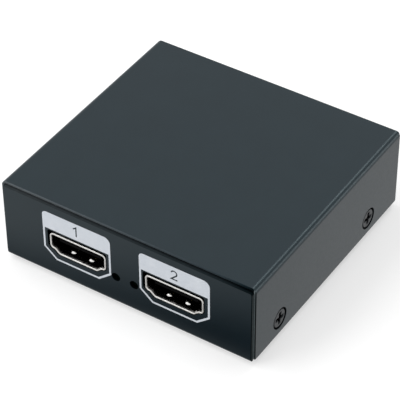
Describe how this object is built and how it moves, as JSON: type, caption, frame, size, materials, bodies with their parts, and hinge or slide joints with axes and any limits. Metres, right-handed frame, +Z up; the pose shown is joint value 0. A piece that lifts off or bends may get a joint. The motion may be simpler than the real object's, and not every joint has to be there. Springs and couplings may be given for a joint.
{
  "type": "video splitter",
  "caption": "Flat steel box that copies one digital video input to several outputs, with sockets in bent end panels, a screwed-on cover and rubber feet.",
  "frame": {"origin": "middle of the footprint, on the surface that the rubber feet stand on", "axes": "+X to the right seen from the output side, +Y from the output panel to the input panel, +Z up"},
  "size_m": [0.0664, 0.0636, 0.0222],
  "materials": {
    "case_paint": "fine matt powder coat on steel sheet",
    "screw_paint": "dark coated steel",
    "foot_rubber": "matt moulded rubber",
    "board_laminate": "solder mask on glass laminate",
    "zinc_steel": "zinc plated",
    "socket_nickel": "bright nickel plate",
    "black_resin": "moulded resin",
    "contact_gold": "thin gold plate",
    "light_lens": "clear resin",
    "solder_tin": "tin plate",
    "ferrite": "pressed ferrite",
    "can_aluminium": "drawn aluminium",
    "tan_ceramic": "fired ceramic"
  },
  "bodies": {
    "root": {"base_tray": "case_paint", "top_cover": "case_paint", "case_screws": "screw_paint", "rubber_feet": "foot_rubber", "circuit_board": "board_laminate", "board_standoffs": "zinc_steel", "board_screws": "zinc_steel", "output_1_shell": "socket_nickel", "output_1_insulator": "black_resin", "output_1_contacts": "contact_gold", "output_2_shell": "socket_nickel", "output_2_insulator": "black_resin", "output_2_contacts": "contact_gold", "input_shell": "socket_nickel", "input_insulator": "black_resin", "input_contacts": "contact_gold", "indicator_lights": "light_lens", "power_jack_housing": "black_resin", "power_jack_pin": "socket_nickel", "power_jack_spring": "socket_nickel", "splitter_chip": "black_resin", "splitter_chip_leads": "solder_tin", "memory_chip": "black_resin", "memory_chip_leads": "solder_tin", "voltage_regulators": "black_resin", "regulator_leads": "solder_tin", "clock_crystal": "zinc_steel", "power_coil": "ferrite", "capacitor_cans": "can_aluminium", "capacitor_bases": "black_resin", "ceramic_capacitors": "tan_ceramic", "resistors": "black_resin", "surge_guards": "black_resin"}
  },
  "joints": []
}
